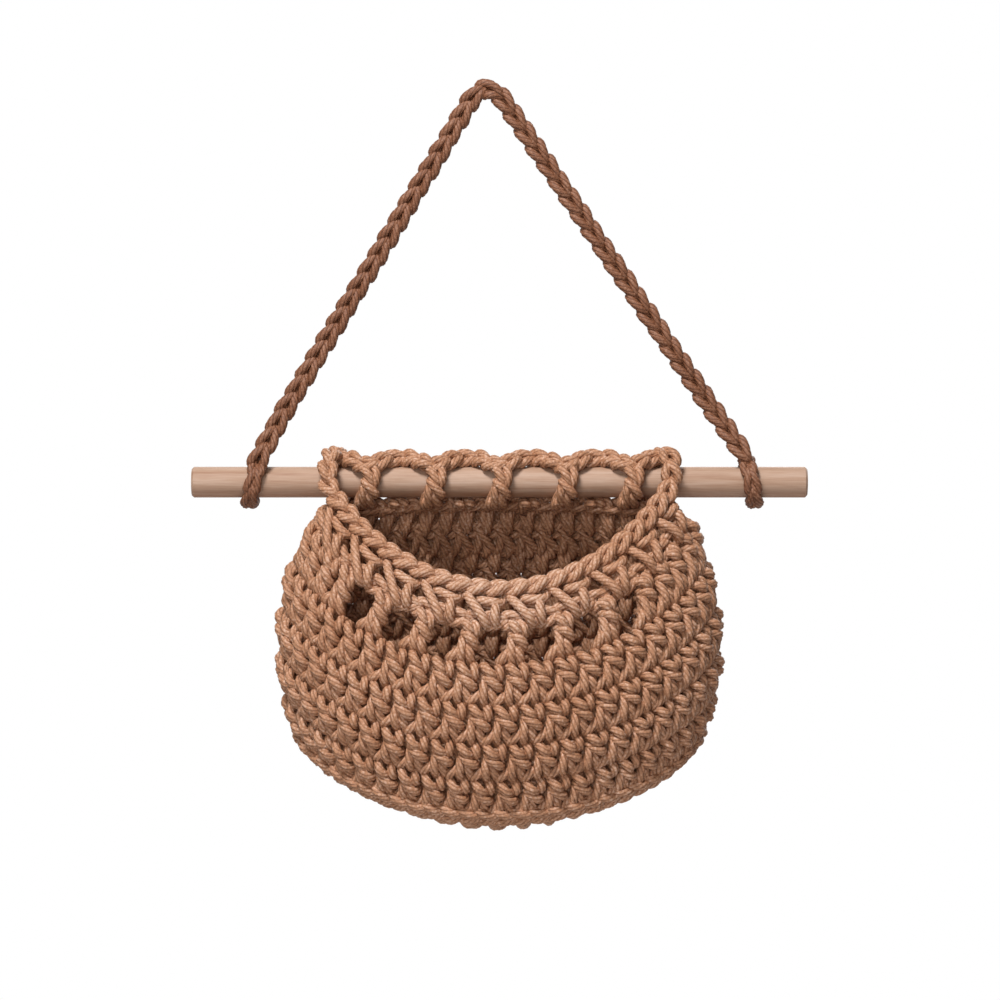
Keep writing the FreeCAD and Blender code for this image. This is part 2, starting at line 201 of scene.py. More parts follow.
# One tall stitch, worked to the left: x right, y up, z out of the wall, from the yarn's place
# behind the head of the stitch before to the same place behind this stitch's own head.
STITCH_LEAD = (
    (9.4, 16.0, -3.0), (9.2, 12.5, -4.0), (7.6, 8.5, -4.2), (6.4, 11.5, -4.4), (6.2, 15.0, -4.0),
    (5.0, 17.2, -2.4),
)
STITCH_POST = (
    # down the right side of the head
    (4.2, 17.0, 0.0), (4.9, 15.6, 1.8), (5.0, 13.6, 2.0), (4.5, 11.8, 0.4),
    # behind the post and once round its front as the wrap
    (3.0, 10.6, -2.0), (0.4, 11.4, -3.4), (-1.6, 12.4, -2.2), (-2.0, 12.2, 0.0),
    (-1.2, 11.6, 2.2), (0.4, 10.7, 3.8), (2.2, 9.6, 4.0), (3.9, 8.4, 3.0), (4.8, 7.3, 0.6),
    # behind, and down the right leg
    (3.6, 6.8, -2.4), (1.4, 7.8, -2.4), (0.2, 8.0, -0.4), (0.7, 6.4, 1.2), (1.4, 4.4, 1.6),
    (2.2, 2.2, 0.8), (2.6, 0.2, -1.2),
    # up behind and down the left leg
    (1.6, -0.6, -3.2), (-0.4, 2.6, -3.8), (-1.0, 7.0, -3.4), (-1.6, 10.2, -1.6),
    (-2.1, 10.6, 0.4), (-2.5, 8.8, 1.6), (-2.8, 6.2, 2.3), (-3.0, 3.4, 2.2), (-2.8, 1.2, 0.8),
    (-2.6, -0.6, -1.6),
    # up behind again and out to the left as the foot
    (-4.4, -1.4, -3.4), (-5.8, 0.4, -3.8), (-4.6, 3.4, -2.8), (-4.0, 5.0, -0.4), (-5.0, 4.2, 1.3),
    (-6.8, 2.7, 2.0), (-8.6, 1.2, 1.4), (-10.0, 0.0, -0.6),
    # up behind, and out to the front as the slanting strand of the head
    (-8.6, 1.0, -3.0), (-5.0, 5.0, -3.8), (-1.5, 9.0, -3.8), (1.4, 11.0, -2.8),
    (2.6, 11.6, -0.4), (2.0, 12.4, 2.2), (0.6, 13.8, 4.2), (-0.9, 15.3, 4.0), (-2.1, 16.6, 2.0),
)
# over to the next stitch
STITCH_LOOP = ((-3.0, 17.6, -0.6),)
TALL_STITCH = STITCH_LEAD + STITCH_POST + STITCH_LOOP

# One slanting stitch between the rim and the eyelets: y counts up from the eyelet chain
SLANT_STITCH = (
    # long strand from under the rim down into the eyelet
    (-13.5, 14.0, -1.5), (-12.4, 11.4, 1.4), (-9.0, 7.2, 3.2), (-5.7, 2.6, 4.4),
    (-3.6, -0.8, 3.8), (-2.6, -2.8, 1.2),
    # behind the chain and down before it again
    (-1.4, -2.0, -2.6), (0.4, 1.0, -4.6), (1.4, 6.0, -2.6), (1.6, 7.6, 0.6), (1.6, 5.8, 3.2),
    (1.4, 2.6, 4.2), (1.6, -0.4, 3.2), (2.0, -2.2, 0.4),
    # behind to the bar under the rim
    (2.2, 0.0, -4.0), (0.0, 6.0, -3.8), (-5.0, 10.0, -2.4), (-6.4, 10.6, 0.2),
    (-4.0, 10.0, 1.6), (-0.6, 9.4, 2.0), (2.5, 9.2, 1.6), (4.4, 9.4, -0.6), (6.0, 12.0, -2.0),
)

# One chain stitch: share of the pitch along, share of the half width across, depth outward
CHAIN_STITCH = (
    (0.0, 0.05, -1.0), (0.2, 0.25, 0.4), (0.5, 0.6, 1.3), (0.85, 0.95, 1.2), (1.15, 1.1, 0.2),
    (1.3, 0.8, -1.2), (1.35, 0.0, -1.8), (1.3, -0.8, -1.2), (1.15, -1.1, 0.2), (0.85, -0.95, 1.2),
    (0.5, -0.6, 1.3), (0.2, -0.25, 0.4), (0.0, -0.05, -1.0), (0.3, 0.0, -2.2), (0.7, 0.0, -2.2),
)

# One stitch of the rim: share of the pitch along, degrees round the edge from its face, reach
RIM_STITCH = (
    # leg down the front
    (0.0, -40, 0.4), (0.1, -16, 1.9), (0.3, 12, 2.8), (0.54, 40, 3.1), (0.78, 70, 2.8),
    (0.98, 100, 2.0), (1.06, 150, 1.0),
    # behind, and the leg along the top
    (1.04, -150, 1.4), (0.92, -92, 2.3), (0.7, -72, 3.0), (0.4, -54, 3.0), (0.14, -40, 2.1),
    (0.0, -36, 0.5),
    # behind to the next stitch
    (0.35, 180, 2.0), (0.7, 180, 2.0),
)

# Cotton: its dark, middle and pale colours as they show on a screen, the tones where they stand,
# and what makes up the tone. A flat patch at the front of the mouth is painted paler, as painted
# light where the rim faces the lamps.
HANGING_COLOURS = ((46, 16, 5), (122, 75, 47), (168, 128, 104))
BASKET_COLOURS = ((60, 22, 8), (176, 125, 91), (222, 192, 171))
COTTON_TONES = (0.22, 0.50, 0.68)
BASE_TONE = 0.245
DYE_SHARE = 0.12
FIBRE_SHARE = 0.42
PAINTED_LIGHT_SHARE = 0.07
# Painted shade: this share of the tone is taken off in the grooves between the plies.
GROOVE_SHADE_SHARE = 0.15
GROOVE_SHARPNESS = 3.0
GROOVE_RELIEF = 0.8
DYE_SCALE = 40.0
FIBRE_SCALE = 900.0
FINE_DETAIL = 2.0
COTTON_BUMP = 0.5
COTTON_BUMP_DEPTH = 0.6
COTTON_ROUGHNESS = 0.62
COTTON_GLOSS = 0.5
PAINTED_LIGHT_PLACE = Vector((0, RIM_FRONT, -RIM_DIP))
PAINTED_LIGHT_FLATNESS = (1.0, 1.0, 2.2)
PAINTED_LIGHT_HEART = 10.0
PAINTED_LIGHT_REACH = 80.0

# Wood: colours along the grain, and painted shade that makes the low side browner
WOOD_COLOURS = ((141, 101, 74), (172, 140, 118), (192, 165, 147))
WOOD_TONES = (0.25, 0.5, 0.75)
BAND_SHARE = 0.7
PORE_SHARE = 0.3
BAND_SCALE = 260.0
BAND_DETAIL = 4.0
BAND_WAVER = 0.4
PORE_SCALE = 1800.0
WOOD_BUMP = 0.25
WOOD_BUMP_DEPTH = 0.3
WOOD_ROUGHNESS = 0.55
WOOD_GLOSS = 0.35
GRAIN_STRETCH = (0.05, 1.0, 1.0)
LOW_SIDE_SHADE_COLOUR = (150, 98, 64)
LOW_SIDE_SHADE_SHARE = 0.6
LOW_SIDE_DEPTH = 7.0
LOW_SIDE_WAVER = 4.0

# Camera, at the photograph's viewing angle
CAMERA_DISTANCE = 2000.0
CAMERA_TARGET = Vector((0.24, 0, -8.7))
FRAME_WIDTH = 487.8
SENSOR_WIDTH = 36.0

# Lamps: name, place and size in metres from the hook seat, power. They look at one place.
LAMPS = (
    ("key_lamp", (-0.44, -1.16, 1.36), 0.5, 45.0),
    ("fill_lamp", (-0.3, -1.8, -0.1), 1.0, 10.5),
    ("back_lamp", (0.5, 1.6, 0.5), 1.2, 17.0),
)
LAMP_AIM = Vector((0.0, 0.0, -0.25))
WHITE = (1.0, 1.0, 1.0, 1.0)
AMBIENT = (0.036, 0.018, 0.009, 1.0)

# Floor, well below the basket, in metres
FLOOR_HEIGHT = -0.80
FLOOR_REACH = 1.6
FLOOR_SIDES = 96
FLOOR_PALE = (0.70, 0.70, 0.70, 1.0)


def metres_from_hook(place):
    """Place in metres from the hook seat of one counted in millimetres from the dowel's middle."""
    return (place + DOWEL_MIDDLE) * MM


def link(made):
    """Puts an object into the scene."""
    bpy.context.scene.collection.objects.link(made)
    return made


# Shape of the pouch
def through_three(start, middle, end, t):
    """Value at t of the smooth curve that is start at 0, middle at 0.5 and end at 1."""
    return start * (1 - t) * (1 - 2 * t) + middle * 4 * t * (1 - t) + end * t * (2 * t - 1)


def hoop_at(level):
    """Hoop at a level, counted in rounds from the eyelet chain down to the foundation chain."""
    if level <= WALL_ROUNDS:
        hoops = (TOP_HOOP, BELLY_HOOP, EDGE_HOOP)
        t = level / WALL_ROUNDS
    else:
        hoops = (EDGE_HOOP, UNDER_HOOP, HEART_HOOP)
        t = (level - WALL_ROUNDS) / BASE_ROUNDS
    return Hoop(*(through_three(*sizes, t) for sizes in zip(*hoops)))


def pouch_point(angle, level):
    """Middle of the crochet at an angle from the front, on the hoop of a level."""
    hoop = hoop_at(level)
    across = math.sin(angle)
    ahead = math.cos(angle)
    if ahead >= 0:
        power, end, end_drop = 2 / FRONT_ROUNDNESS, hoop.front, hoop.front_drop
    else:
        power, end, end_drop = 2 / BACK_ROUNDNESS, hoop.back, hoop.back_drop
    x = hoop.half_width * math.copysign(abs(across) ** power, across)
    y = hoop.side + (end - hoop.side) * abs(ahead) ** power
    drop = hoop.side_drop + (end_drop - hoop.side_drop) * abs(ahead) ** SCOOP_POWER
    return Vector((x, y, -drop))


def hoop_frame(angle, level):
    """Middle of the crochet on a hoop, with its directions along the hoop, up and outward."""
    along = pouch_point(angle + ANGLE_STEP, level) - pouch_point(angle - ANGLE_STEP, level)
    along.normalize()
    below = pouch_point(angle, min(level + HALF_ROUND, BOTTOM_LEVEL))
    above = pouch_point(angle, max(level - HALF_ROUND, 0))
    up = above - below
    up = (up - along * up.dot(along)).normalized()
    return pouch_point(angle, level), along, up, along.cross(up)


def angle_step(angle, level):
    """Angle that a millimetre along a hoop takes up."""
    ahead = pouch_point(angle + ANGLE_STEP, level) - pouch_point(angle - ANGLE_STEP, level)
    return 2 * ANGLE_STEP / ahead.length


def lengths_along(points):
    """Length from the first point to each point of a row."""
    reach = [0.0]
    for before, after in zip(points, points[1:]):
        reach.append(reach[-1] + (after - before).length)
    return reach


def even_angles(count, level, start, end):
    """Angles that divide a stretch of a hoop into equal lengths, both ends included."""
    fine = [start + (end - start) * i / FINE_STEPS for i in range(FINE_STEPS + 1)]
    reach = lengths_along([pouch_point(angle, level) for angle in fine])
    angles = []
    i = 0
    for k in range(count + 1):
        wanted = reach[-1] * k / count
        while i < FINE_STEPS - 1 and reach[i + 1] < wanted:
            i += 1
        share = (wanted - reach[i]) / (reach[i + 1] - reach[i])
        angles.append(fine[i] + share * (fine[i + 1] - fine[i]))
    return angles


def angle_at(angles, fraction):
    """Angle at a share of the way along a row of even angles, which may go on past its ends."""
    last = len(angles) - 1
    place = fraction * last
    turns = 0
    if angles[-1] - angles[0] > FULL_TURN - ANGLE_STEP:
        turns, place = divmod(place, last)
    i = min(max(int(place), 0), last - 1)
    return turns * FULL_TURN + angles[i] + (angles[i + 1] - angles[i]) * (place - i)


def on_wall(angle, level, out):
    """Place on the pouch, standing out from the middle of its wall."""
    held = min(max(level, 0), BOTTOM_LEVEL)
    middle, along, up, outward = hoop_frame(angle, held)
    return middle + outward * out + up * (held - level) * STITCH_HEIGHT


def round_dowel(x, lean, reach):
    """Place at a reach from the dowel's axis, leaning back from its top by some degrees."""
    lean = math.radians(lean)
    return Vector((x, reach * math.sin(lean), reach * math.cos(lean)))


def rim_point(angle):
    """Middle of the front rim at an angle from the front."""
    ahead = math.cos(angle) ** RIM_POWER
    y = -EDGE_REACH + (RIM_FRONT + EDGE_REACH) * ahead
    return Vector((RIM_HALF_WIDTH * math.sin(angle), y, -RIM_DIP * ahead))


# Yarn
def yarn_section(radius):
    """Section of a yarn: a ring of rounded plies with a groove between each two."""
    section = bpy.data.curves.new("yarn_section", "CURVE")
    spline = section.splines.new("POLY")
    count = PLY_POINTS * PLIES
    spline.points.add(count - 1)
    for i, point in enumerate(spline.points):
        turn = FULL_TURN * i / count
        reach = radius * MM * (1.0 if i % PLY_POINTS else PLY_GROOVE)
        point.co = (reach * math.cos(turn), reach * math.sin(turn), 0, 1)
    spline.use_cyclic_u = True
    return link(bpy.data.objects.new("yarn_section", section))


def new_curve(name, steps):
    """Empty curve in space, with some steps between two points."""
    curve = bpy.data.curves.new(name, "CURVE")
    curve.dimensions = "3D"
    curve.resolution_u = steps
    return curve


def add_strand(curve, places):
    """Smooth line along a row of places, added to a curve."""
    spline = curve.splines.new("NURBS")
    spline.points.add(len(places) - 1)
    for place, point in zip(places, spline.points):
        point.co = (*place, 1)
    spline.order_u = 3
    spline.use_endpoint_u = True
    return spline


def curve_mesh(curve):
    """Mesh of a curve."""
    maker = link(bpy.data.objects.new(curve.name, curve))
    graph = bpy.context.evaluated_depsgraph_get()
    mesh = bpy.data.meshes.new_from_object(maker.evaluated_get(graph))
    bpy.data.objects.remove(maker)
    return mesh


def yarn_mesh(name, strands, radius):
    """Mesh of twisted yarn that follows each row of points."""
    section = yarn_section(radius)
    curve = new_curve(name, YARN_STEPS)
    curve.twist_mode = "MINIMUM"
    curve.bevel_mode = "OBJECT"
    curve.bevel_object = section
    curve.use_fill_caps = True
    for strand in strands:
        reach = lengths_along(strand)
        spline = add_strand(curve, [metres_from_hook(place) for place in strand])
        for distance, point in zip(reach, spline.points):
            point.tilt = -FULL_TURN * (distance - reach[-1] / 2) / YARN_LAY
    mesh = curve_mesh(curve)
    mesh.name = name
    bpy.data.objects.remove(section)
    return mesh


# Crochet work of one yarn: the body it rides on, the name of its finish and the finish itself
Work = namedtuple("Work", "body slot finish")


def yarn_piece(work, node, strands, radius):
    """Piece of crochet work that stands for a CAD node."""
    name = node + "_yarn"
    piece = link(bpy.data.objects.new(name, yarn_mesh(name, strands, radius)))
    piece.data.materials.clear()
    piece.data.materials.append(work.finish)
    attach(piece, work.body)
    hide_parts(node)
    return piece


def wander():
    """Small chance shift of a point of yarn."""
    return Vector([random.uniform(-YARN_WANDER, YARN_WANDER) for axis in range(3)])


def split(stitches):
    """Rows of points for a line of stitches, cut where the yarn is hidden and not too long."""
    strands = []
    strand = []
    length = 0.0
    for i, stitch in enumerate(stitches):
        strand.extend(stitch)
        length += lengths_along(stitch)[-1]
        last = i == len(stitches) - 1
        if length > STRAND_TURNS * YARN_LAY or last:
            if not last:
                strand.append(stitches[i + 1][0])
            strands.append(strand)
            strand = []
            length = 0.0
    return strands


def tall_stitches(count, low, angles, top=math.inf):
    """Stitches of a round, from the right to the left, each as a row of points."""
    stitches = []
    for i in range(count):
        middle = i + 0.5 + ROUND_SHIFT * low
        stitch = []
        for x, y, z in TALL_STITCH:
            fraction = 1 - (middle - x / STITCH_PITCH) / count
            level = low - min(y, top) / STITCH_HEIGHT
            place = on_wall(angle_at(angles, fraction), level, z * STITCH_DEPTH)
            stitch.append(place + wander())
        stitches.append(stitch)
    return stitches


# Chains
class Guide:
    """Line that a chain follows, with the way that the chain's face looks at each point."""

    def __init__(self, points, faces):
        self.points = points
        self.faces = faces
        self.reach = lengths_along(points)
        self.length = self.reach[-1]

    def at(self, distance):
        """Place, direction along, across and outward at a distance along the line."""
        i = 0
        while i < len(self.points) - 2 and self.reach[i + 1] < distance:
            i += 1
        span = self.reach[i + 1] - self.reach[i]
        share = (distance - self.reach[i]) / span
        place = self.points[i].lerp(self.points[i + 1], share)
        along = (self.points[i + 1] - self.points[i]).normalized()
        face = self.faces[i].lerp(self.faces[i + 1], min(max(share, 0), 1))
        face = (face - along * face.dot(along)).normalized()
        return place, along, face.cross(along), face


def chain_stitches(guide, pitch, half_width, depth, closed=False):
    """Stitches of a chain along a guide, each as a row of points."""
    count = round(guide.length / pitch)
    pitch = guide.length / count
    stitches = []
    for i in range(count):
        stitch = []
        for share, across, out in CHAIN_STITCH:
            distance = (i + share) * pitch
            if closed:
                distance %= guide.length
            place, along, side, face = guide.at(distance)
            stitch.append(place + side * across * half_width + face * out * depth + wander())
        stitches.append(stitch)
    if closed:
        stitches.append(stitches[0][:1])
    return stitches


def rim_stitches(guide):
    """Stitches of the chain that rolls round the rim, fuller where it wraps the dowel."""
    count = round(guide.length / RIM_PITCH)
    stitches = []
    for i in range(count):
        stitch = []
        for share, degrees, reach in RIM_STITCH:
            place, along, side, face = guide.at((i + share) * guide.length / count)
            near_dowel = min(max((place.z + CORNER_START) / CORNER_BLEND, 0), 1)
            if abs(degrees) < CORNER_HIDDEN:
                degrees *= 1 - CORNER_FLATNESS * near_dowel
            roll = math.radians(degrees)
            fullness = 1 + CORNER_FULLNESS * near_dowel
            turned = face * math.cos(roll) + side * math.sin(roll) * fullness
            stitch.append(place + turned * reach + wander())
        stitches.append(stitch)
    return stitches


# Shader nodes
class Shade:
    """A shader socket that takes part in Python expressions."""

    def __init__(self, tree, socket=None):
        self.tree = tree
        self.socket = socket

    def node(self, kind, settings=None, sockets=None, result=0):
        """Adds a node with its settings, then the values and links of its sockets."""
        made = self.tree.nodes.new(kind)
        for name, value in (settings or {}).items():
            if name == "stops":
                ramp = made.color_ramp
                while len(ramp.elements) < len(value):
                    ramp.elements.new(1.0)
                for element, (position, colour) in zip(ramp.elements, value):
                    element.position = position
                    element.color = colour
            else:
                setattr(made, name, value)
        for name, value in (sockets or {}).items():
            if isinstance(value, Shade):
                self.tree.links.new(value.socket, made.inputs[name])
            else:
                made.inputs[name].default_value = value
        return Shade(self.tree, made.outputs[result]) if made.outputs else None

    def maths(self, operation, first, second):
        """Adds a node that works out one value from two."""
        return self.node("ShaderNodeMath", {"operation": operation}, {0: first, 1: second})

    def __add__(self, other):
        return self.maths("ADD", self, other)

    def __radd__(self, other):
        return self.maths("ADD", other, self)

    def __sub__(self, other):
        return self.maths("SUBTRACT", self, other)

    def __rsub__(self, other):
        return self.maths("SUBTRACT", other, self)

    def __mul__(self, other):
        return self.maths("MULTIPLY", self, other)

    def __rmul__(self, other):
        return self.maths("MULTIPLY", other, self)

    def __pow__(self, other):
        return self.maths("POWER", self, other)

    def __mod__(self, other):
        return self.maths("FLOORED_MODULO", self, other)


def paint(red, green, blue):
    """Linear colour of one written as it shows on a screen."""
    channels = []
    for value in (red / 255, green / 255, blue / 255):
        channels.append(value / 12.92 if value <= 0.04045 else ((value + 0.055) / 1.055) ** 2.4)
    return (*channels, 1.0)


def ramp_stops(tones, colours):
    """Stops of a colour ramp, from tones and screen colours."""
    return [(tone, paint(*colour)) for tone, colour in zip(tones, colours)]


def new_finish(name):
    """Empty material and the first handle on its nodes."""
    finish = bpy.data.materials.new(name)
    finish.use_nodes = True
    finish.node_tree.nodes.clear()
    return finish, Shade(finish.node_tree)


def painted_light_patch(shade, places):
    """Value that is 1 in the heart of the patch of painted light on the yarn and 0 outside it."""
    offset = shade.node("ShaderNodeVectorMath", {"operation": "SUBTRACT"}, {
        0: places, 1: metres_from_hook(PAINTED_LIGHT_PLACE),
    })
    flattened = shade.node("ShaderNodeVectorMath", {"operation": "MULTIPLY"}, {
        0: offset, 1: PAINTED_LIGHT_FLATNESS,
    })
    away = shade.node("ShaderNodeVectorMath", {"operation": "LENGTH"}, {0: flattened}, "Value")
    return shade.node("ShaderNodeMapRange", {"interpolation_type": "SMOOTHSTEP"}, {
        "Value": away, "From Min": PAINTED_LIGHT_REACH * MM, "From Max": PAINTED_LIGHT_HEART * MM,
    })


def cotton(name, colours):
    """Twisted cotton yarn: painted shade between the plies, flecked fibres, uneven dye."""
    finish, shade = new_finish(name)
    places = shade.node("ShaderNodeTexCoord", result="Object")
    strand = shade.node("ShaderNodeUVMap", {"uv_map": "UVMap"})
    around = shade.node("ShaderNodeSeparateXYZ", None, {0: strand}, "Y")
    ply = (around * PLIES) % 1.0
    edge = shade.node("ShaderNodeMath", {"operation": "ABSOLUTE"}, {0: 2 * ply - 1})
    groove = edge ** GROOVE_SHARPNESS
    dye = shade.node("ShaderNodeTexNoise", None, {
        "Vector": places, "Scale": DYE_SCALE, "Detail": FINE_DETAIL,
    })
    fibre = shade.node("ShaderNodeTexNoise", None, {
        "Vector": places, "Scale": FIBRE_SCALE, "Detail": FINE_DETAIL,
    })
    painted_light = painted_light_patch(shade, places)
    # Painted light: the patch at the front of the mouth raises the tone, so the yarn there is paler.
    tone = DYE_SHARE * dye + FIBRE_SHARE * fibre + PAINTED_LIGHT_SHARE * painted_light + BASE_TONE
    # Painted shade: the grooves between the plies are pulled towards the dark colour.
    colour = shade.node("ShaderNodeValToRGB", {"stops": ramp_stops(COTTON_TONES, colours)}, {
        0: tone - GROOVE_SHADE_SHARE * groove,
    })
    bump = shade.node("ShaderNodeBump", None, {
        "Strength": COTTON_BUMP, "Distance": COTTON_BUMP_DEPTH * MM,
        "Height": fibre - GROOVE_RELIEF * groove,
    })
    surface = shade.node("ShaderNodeBsdfPrincipled", None, {
        "Base Color": colour, "Roughness": COTTON_ROUGHNESS, "Normal": bump,
        "Specular IOR Level": COTTON_GLOSS,
    })
    shade.node("ShaderNodeOutputMaterial", None, {"Surface": surface})
    return finish


def pine(name):
    """Pale sanded wood with grain along the dowel, and painted shade on its low side."""
    finish, shade = new_finish(name)
    places = shade.node("ShaderNodeTexCoord", result="Object")
    grain = shade.node("ShaderNodeMapping", None, {"Vector": places, "Scale": GRAIN_STRETCH})
    bands = shade.node("ShaderNodeTexNoise", None, {
        "Vector": grain, "Scale": BAND_SCALE, "Detail": BAND_DETAIL, "Distortion": BAND_WAVER,
    })
    pores = shade.node("ShaderNodeTexNoise", None, {
        "Vector": grain, "Scale": PORE_SCALE, "Detail": FINE_DETAIL,
    })
    colour = shade.node("ShaderNodeValToRGB", {"stops": ramp_stops(WOOD_TONES, WOOD_COLOURS)}, {
        0: BAND_SHARE * bands + PORE_SHARE * pores,
    })
    height = shade.node("ShaderNodeSeparateXYZ", None, {0: places}, "Z")
    # Painted shade: the low side of the dowel is mixed towards a browner colour.
    low_side_shade = shade.node("ShaderNodeMapRange", {"interpolation_type": "SMOOTHSTEP"}, {
        "Value": height + LOW_SIDE_WAVER * MM * bands,
        "From Min": -HANG_DROP * MM, "From Max": -(HANG_DROP + LOW_SIDE_DEPTH) * MM,
    })
    # A Mix node's colours are its sockets 6 and 7, and its colour result is output 2
    colour = shade.node("ShaderNodeMix", {"data_type": "RGBA"}, {
        0: LOW_SIDE_SHADE_SHARE * low_side_shade, 6: colour, 7: paint(*LOW_SIDE_SHADE_COLOUR),
    }, 2)
    bump = shade.node("ShaderNodeBump", None, {
        "Strength": WOOD_BUMP, "Distance": WOOD_BUMP_DEPTH * MM, "Height": pores,
    })
    surface = shade.node("ShaderNodeBsdfPrincipled", None, {
        "Base Color": colour, "Roughness": WOOD_ROUGHNESS, "Normal": bump,
        "Specular IOR Level": WOOD_GLOSS,
    })
    shade.node("ShaderNodeOutputMaterial", None, {"Surface": surface})
    return finish


# Hanging cord and its loops
def cord_line():
    """Points of the smooth line that the hanging cord takes, in millimetres."""
    route = (
        LEFT_LOOP_TOP,
        LEFT_NECK,
        LEFT_NECK + (HOOK_TOP - LEFT_NECK).normalized() * NECK_STRETCH,
        HOOK_TOP + (LEFT_NECK - HOOK_TOP).normalized() * HOOK_STRETCH,
        HOOK_TOP,
        HOOK_TOP + (RIGHT_NECK - HOOK_TOP).normalized() * HOOK_STRETCH,
        RIGHT_NECK + (HOOK_TOP - RIGHT_NECK).normalized() * NECK_STRETCH,
        RIGHT_NECK,
        RIGHT_LOOP_TOP,
    )
    curve = new_curve("cord_line", CORD_STEPS)
    add_strand(curve, route)
    mesh = curve_mesh(curve)
    points = [vertex.co.copy() for vertex in mesh.vertices]
    bpy.data.meshes.remove(mesh)
    return points


def hanging_cord(work):
    """Crocheted chain from loop to loop over the hook."""
    line = cord_line()
    guide = Guide(line[::-1], [TOWARDS_VIEW] * len(line))
    stitches = chain_stitches(guide, CORD_PITCH, CORD_LEG, CORD_DEPTH)
    cord = yarn_piece(work, "hanging_cord", split(stitches), CHAIN_YARN_RADIUS)
    metres_from_hook(line[0])
    [metres_from_hook(point) for point in line]


def cord_loops(work):
    """Ends of the cord, each looped round the dowel and leaning over along it as the cord does."""
    turns = [FULL_TURN * i / LOOP_STEPS for i in range(LOOP_STEPS + 1)]
    faces = [Vector((0, -math.sin(turn), math.cos(turn))) for turn in turns]
    for side, x, lean in CORD_LOOPS:
        points = []
        for face in faces:
            points.append(Vector((x + lean * LOOP_RADIUS * face.z, 0, 0)) + face * LOOP_RADIUS)
        stitches = chain_stitches(Guide(points, faces), CORD_PITCH, LOOP_LEG, LOOP_DEPTH, True)
        yarn_piece(work, side + "_cord_loop", split(stitches), LOOP_YARN_RADIUS)


# Pouch
def closed_round(work, node, count, low, angles):
    """Round of tall stitches whose last one meets its first."""
    stitches = tall_stitches(count, low, angles)
    stitches.append(stitches[0][:1])
    yarn_piece(work, node, split(stitches), YARN_RADIUS)


def pouch_rounds(work):
    """Rounds of the wall and base, and the half round at the back across from the eyelets."""
    wall_angles = even_angles(ROUND_STEPS, WALL_ROUNDS / 2, -math.pi, math.pi)
    for number in range(1, WALL_ROUNDS):
        low = WALL_ROUNDS - number + 1
        closed_round(work, "wall_round_%d" % number, WALL_STITCHES, low, wall_angles)
    for number, count in enumerate(BASE_STITCHES, 1):
        low = BOTTOM_LEVEL - number + 1
        base_angles = even_angles(ROUND_STEPS, low - HALF_ROUND, -math.pi, math.pi)
        closed_round(work, "base_round_%d" % number, count, low, base_angles)
    back_angles = even_angles(ROUND_STEPS, HALF_ROUND, math.pi / 2, 3 * math.pi / 2)
    stitches = tall_stitches(BACK_STITCHES, BACK_LOW, back_angles, BACK_TOP)
    yarn_piece(work, "eyelet_back_round", split(stitches), YARN_RADIUS)


def eyelet_post(angle):
    """Yarn of one post between the top wall round and the eyelet chain."""
    step = angle_step(angle, EYELET_LEVEL)
    places = []
    for x, y, z in STITCH_POST:
        if z < -EYELET_HIDE_DEPTH and x < -EYELET_HIDE:
            y = min(y, EYELET_LOW)
        turn = angle + x * EYELET_SPREAD * step
        places.append(on_wall(turn, 1 - y / STITCH_HEIGHT, z * STITCH_DEPTH) + wander())
    return places


def rim_post(angle):
    """Yarn of one slanting stitch over an eyelet."""
    step = angle_step(angle, 0)
    places = []
    for x, y, z in SLANT_STITCH:
        turn = angle + x * step
        place = on_wall(turn, -min(y, 0) / STITCH_HEIGHT, z * STITCH_DEPTH)
        rise = rim_point(turn) - pouch_point(turn, 0)
        places.append(place + rise * max(y, 0) / RIM_RISE + wander())
    return places


def open_work(work):
    """Eyelet posts, even over the front, and the slanting stitches between them and the rim."""
    even = even_angles(2 * EYELET_POSTS, EYELET_LEVEL, -math.pi / 2, math.pi / 2)[1::2]
    angles = [angle + EYELET_SIDESTEP * angle_step(angle, EYELET_LEVEL) for angle in even]
    middles = [(before + after) / 2 for before, after in zip(angles, angles[1:])]
    # Further posts close the round at its sides, where the photograph shows no eyelets
    closing = [2 * angles[0] - middles[0]]
    closing += [angle for angle in middles if abs(angle) > EYELET_END]
    posts = [eyelet_post(angle) for angle in angles + closing]
    slants = [rim_post(angle) for angle in middles]
    yarn_piece(work, "eyelet_posts", posts, OPEN_YARN_RADIUS)
    yarn_piece(work, "rim_posts", slants, OPEN_YARN_RADIUS)


def hoop_chains(work):
    """Chains round the pouch, from the back right round to the left."""
    for node, level, out in HOOP_CHAINS:
        angles = even_angles(HOOP_STEPS, level, math.pi, -math.pi)
        frames = [hoop_frame(angle, level) for angle in angles]
        points = [middle + outward * out for middle, along, up, outward in frames]
        faces = [outward for middle, along, up, outward in frames]
        stitches = chain_stitches(Guide(points, faces), CHAIN_PITCH, CHAIN_LEG, CHAIN_DEPTH, True)
        yarn_piece(work, node, split(stitches), CHAIN_YARN_RADIUS)


def foundation_chain(work):
    """Chain in the middle of the base, facing down."""
    heart = hoop_at(BOTTOM_LEVEL)
    height = -(heart.front_drop + heart.back_drop) / 2
    points = []
    for i in range(FOUNDATION_STEPS + 1):
        points.append(Vector((FOUNDATION_REACH * (1 - 2 * i / FOUNDATION_STEPS), heart.side, height)))
    guide = Guide(points, [Vector((0, 0, -1))] * len(points))
    stitches = chain_stitches(guide, CHAIN_PITCH, FOUNDATION_LEG, CHAIN_DEPTH)
    yarn_piece(work, "foundation_chain", split(stitches), FOUNDATION_YARN_RADIUS)


